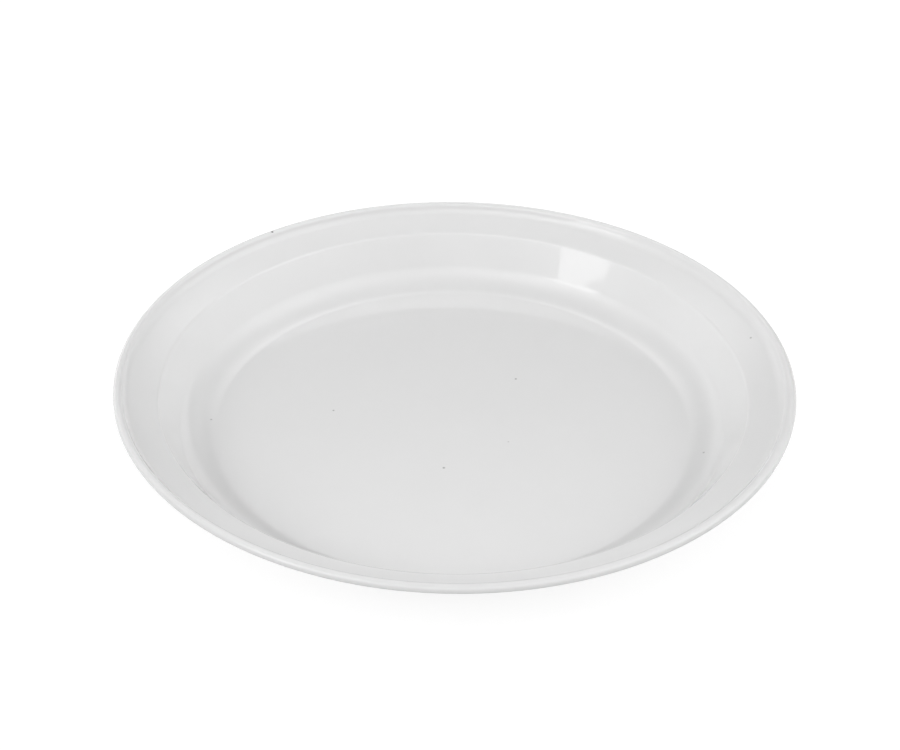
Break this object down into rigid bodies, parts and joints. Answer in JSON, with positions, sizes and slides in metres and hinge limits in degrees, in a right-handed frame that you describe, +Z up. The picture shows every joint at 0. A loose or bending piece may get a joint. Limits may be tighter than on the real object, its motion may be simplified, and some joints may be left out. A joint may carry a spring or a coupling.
{
  "type": "plastic dessert plate",
  "caption": "Shallow round white plastic plate with a flat floor, a leaning wall, a rising flange and a beaded edge.",
  "frame": {"origin": "centre of the underside of the floor, on the surface that the plate stands on", "axes": "+Z is up along the plate's axis; +X and +Y lie in the table's plane, and -Y faces the picture's viewer"},
  "size_m": [0.17, 0.17, 0.0194],
  "materials": {
    "plate": "white thermoformed polystyrene, glossy"
  },
  "bodies": {
    "root": {"plate": "plate"}
  },
  "joints": []
}
